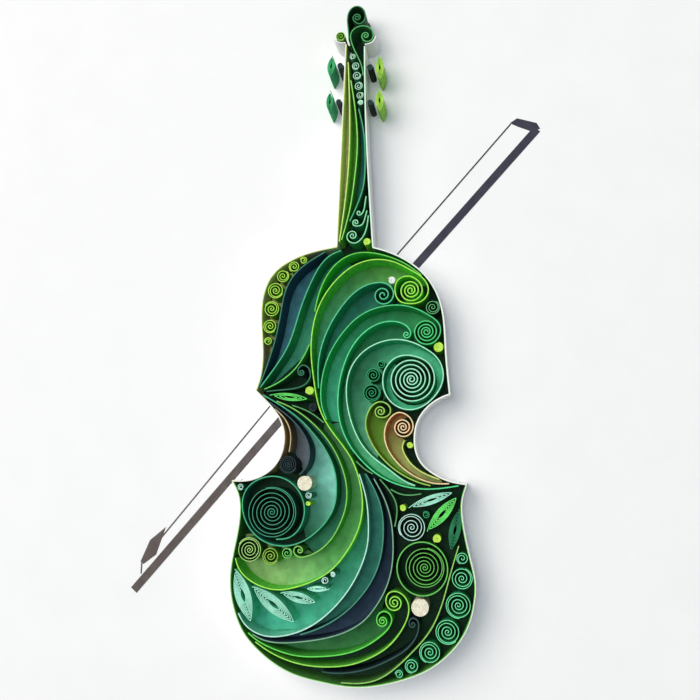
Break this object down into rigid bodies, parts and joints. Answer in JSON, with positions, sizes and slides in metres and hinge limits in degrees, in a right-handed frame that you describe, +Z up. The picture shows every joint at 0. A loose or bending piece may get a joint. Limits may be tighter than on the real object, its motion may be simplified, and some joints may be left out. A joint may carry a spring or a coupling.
{
  "type": "quilled paper art",
  "caption": "Violin picture of quilled paper strips standing on edge inside a white card outline, on a square white sheet with a bow drawn in ink.",
  "frame": {"origin": "centre of the backing sheet's underside", "axes": "+X across the violin to its right, +Y towards its scroll, +Z up out of the sheet"},
  "size_m": [0.305, 0.305, 0.0119],
  "materials": {
    "white_board": "matt paper",
    "charcoal_ink": "matt paper",
    "dark_green_card": "matt paper",
    "white_card": "matt paper",
    "dark_green_paper": "matt paper",
    "lime_paper": "matt paper",
    "green_paper": "matt paper",
    "navy_paper": "matt paper",
    "teal_paper": "matt paper",
    "mint_paper": "matt paper",
    "olive_paper": "matt paper",
    "tan_paper": "matt paper",
    "cream_paper": "matt paper"
  },
  "bodies": {
    "root": {"backing_sheet": "white_board", "drawn_bow": "charcoal_ink", "floor_card": "dark_green_card", "wall_neck_left": "white_card", "wall_neck_right": "white_card", "wall_upper_left": "white_card", "wall_upper_right": "white_card", "wall_waist_left": "white_card", "wall_waist_right": "white_card", "wall_lower": "white_card", "scroll_walls": "white_card", "scroll_top": "dark_green_paper", "scroll_left_coil": "lime_paper", "scroll_right_curl": "green_paper", "pegs_left": "green_paper", "pegs_right": "lime_paper", "peg_shafts": "navy_paper", "neck_strip_lime": "lime_paper", "neck_strip_green": "green_paper", "neck_strip_teal": "teal_paper", "neck_coils": "mint_paper", "neck_curls": "green_paper", "shoulder_coils": "lime_paper", "sweep_navy": "navy_paper", "sweep_slate": "teal_paper", "sweep_corner": "green_paper", "sweep_shoulder": "green_paper", "sweep_lime": "lime_paper", "sweep_teal": "teal_paper", "sweep_green": "green_paper", "sweep_leaf": "lime_paper", "sweep_mint": "mint_paper", "curl_dark_teal": "teal_paper", "curl_olive": "olive_paper", "curl_tan": "tan_paper", "waist_strip_lime": "lime_paper", "waist_strip_tan": "tan_paper", "waist_strip_navy": "navy_paper", "band_teal": "teal_paper", "band_green": "green_paper", "band_mint": "mint_paper", "band_dark": "dark_green_paper", "band_light_green": "lime_paper", "branch_strips": "green_paper", "base_curl_lime": "lime_paper", "base_curl_green": "green_paper", "base_curl_slate": "navy_paper", "edge_strip": "lime_paper", "rings_dark_green": "dark_green_paper", "beads_lime": "lime_paper", "beads_cream": "cream_paper", "coils_mint": "mint_paper", "coils_dark": "navy_paper", "coil_big_dark": "dark_green_paper", "coil_big_green": "green_paper", "coils_green": "green_paper", "coil_chain": "mint_paper", "marquises_mint": "mint_paper", "marquises_green": "green_paper"}
  },
  "joints": []
}
